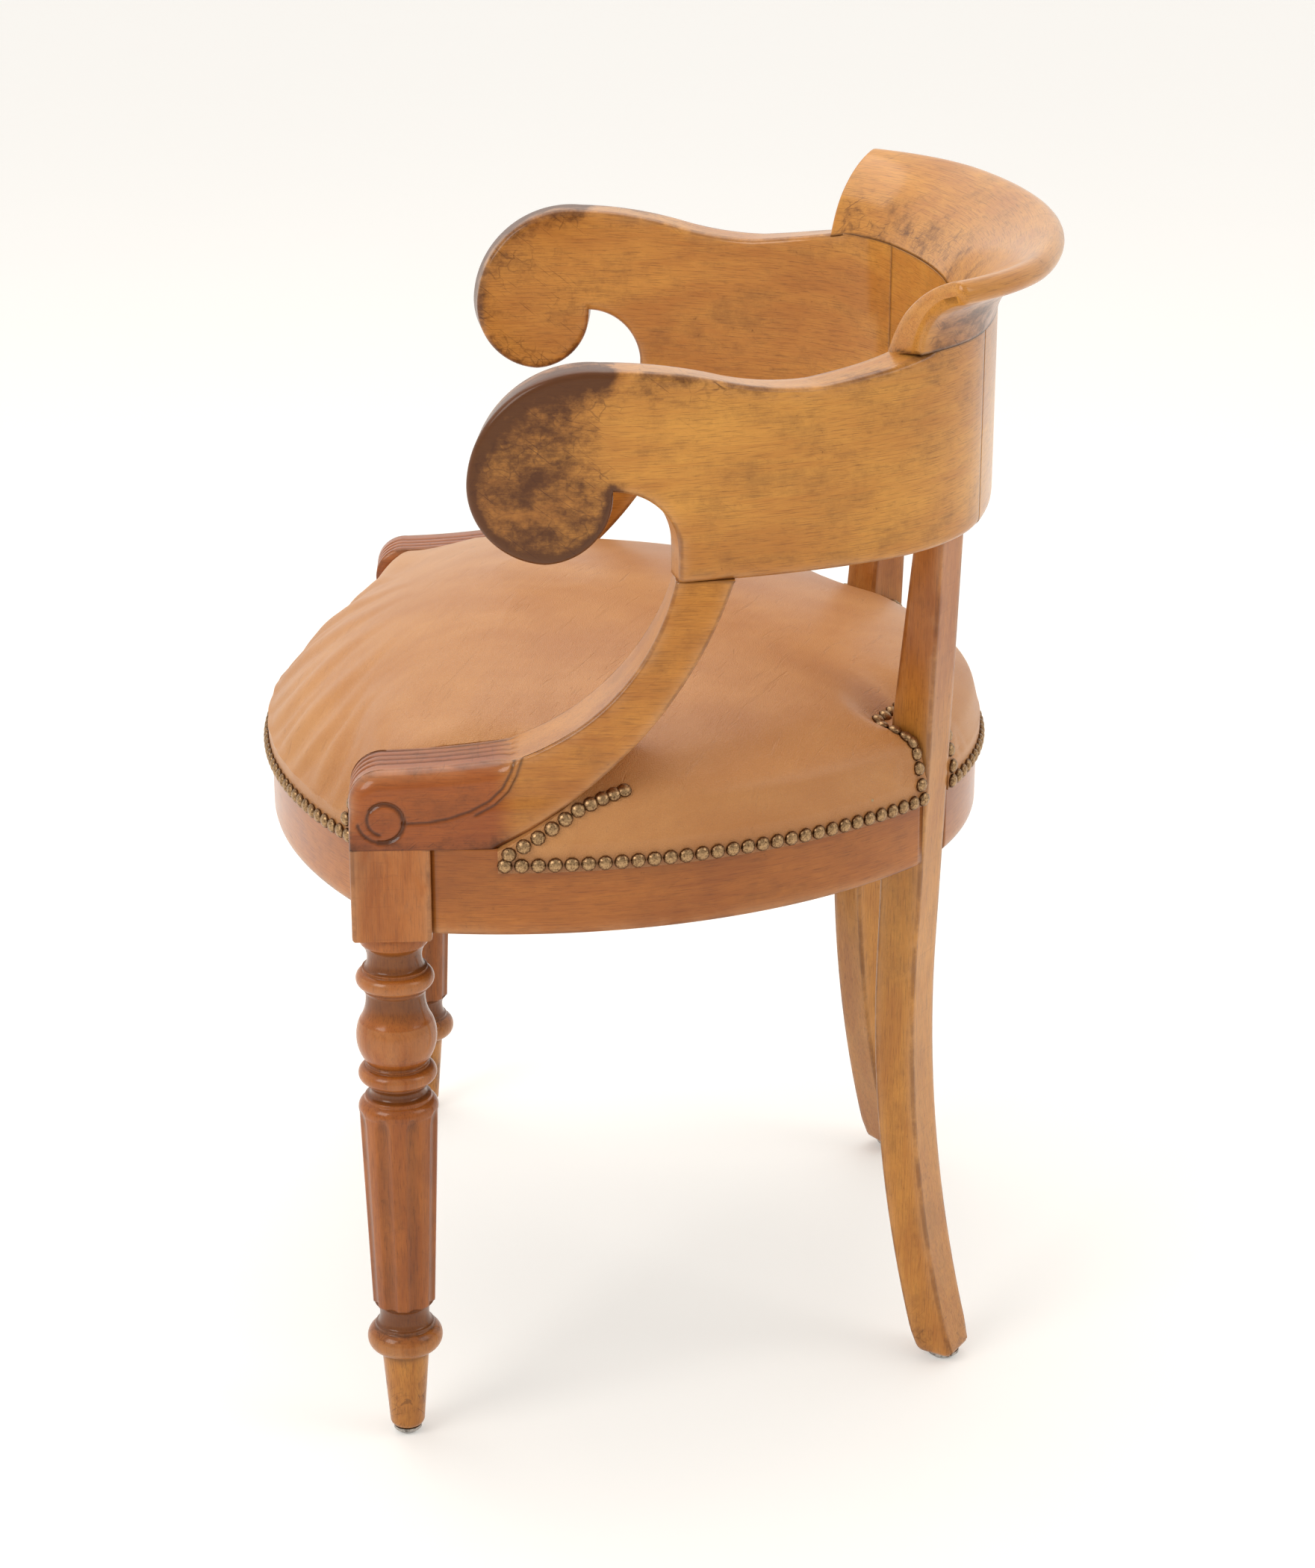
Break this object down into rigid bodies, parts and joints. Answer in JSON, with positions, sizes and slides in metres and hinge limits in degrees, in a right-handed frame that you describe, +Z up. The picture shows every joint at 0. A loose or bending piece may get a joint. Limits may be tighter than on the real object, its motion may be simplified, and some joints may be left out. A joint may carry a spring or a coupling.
{
  "type": "gondola armchair",
  "caption": "Gondola armchair: horseshoe back with scrolled arms and a flared crest rail, sabre rear legs, turned and fluted front legs, and a domed leather seat edged with brass nails.",
  "frame": {"origin": "centre of the bounding box at floor level", "axes": "+Z up, -Y the way the sitter faces, +X the sitter's left"},
  "size_m": [0.5662, 0.5368, 0.7682],
  "materials": {
    "wood": "French-polished honey-brown hardwood with dark patina along the edges",
    "turned_wood": "the same polished wood in a redder tone",
    "frame_wood": "plain unpolished beech",
    "webbing": "woven jute",
    "cloth": "thin woven lining cloth",
    "hair": "stuffed hair under a plain cover",
    "leather": "tan leather with a satin sheen",
    "brass": "antique brass, dulled",
    "steel": "dull steel"
  },
  "bodies": {
    "root": {"arm_left": "wood", "arm_right": "wood", "back_panel": "wood", "crest_rail": "wood", "rear_leg_left": "wood", "rear_leg_right": "wood", "front_rail": "wood", "back_rail": "wood", "side_rail_left": "wood", "side_rail_right": "wood", "front_leg_left": "turned_wood", "front_leg_right": "turned_wood", "arm_support_left": "turned_wood", "arm_support_right": "turned_wood", "corner_block_front_left": "frame_wood", "corner_block_front_right": "frame_wood", "corner_block_rear_left": "frame_wood", "corner_block_rear_right": "frame_wood", "front_rail_dowels": "frame_wood", "side_rail_dowels": "frame_wood", "back_rail_dowels": "frame_wood", "support_dowels": "frame_wood", "stile_dowels": "frame_wood", "wall_dowels": "frame_wood", "crest_dowels": "frame_wood", "webbing_lengthwise": "webbing", "webbing_crosswise": "webbing", "base_cloth": "cloth", "bottom_cloth": "cloth", "seat_stuffing": "hair", "seat_leather": "leather", "nails_front": "brass", "nails_left": "brass", "nails_back": "brass", "nails_right": "brass", "glide_front_left": "steel", "glide_front_right": "steel", "glide_rear_left": "steel", "glide_rear_right": "steel", "bottom_tacks": "steel"}
  },
  "joints": []
}
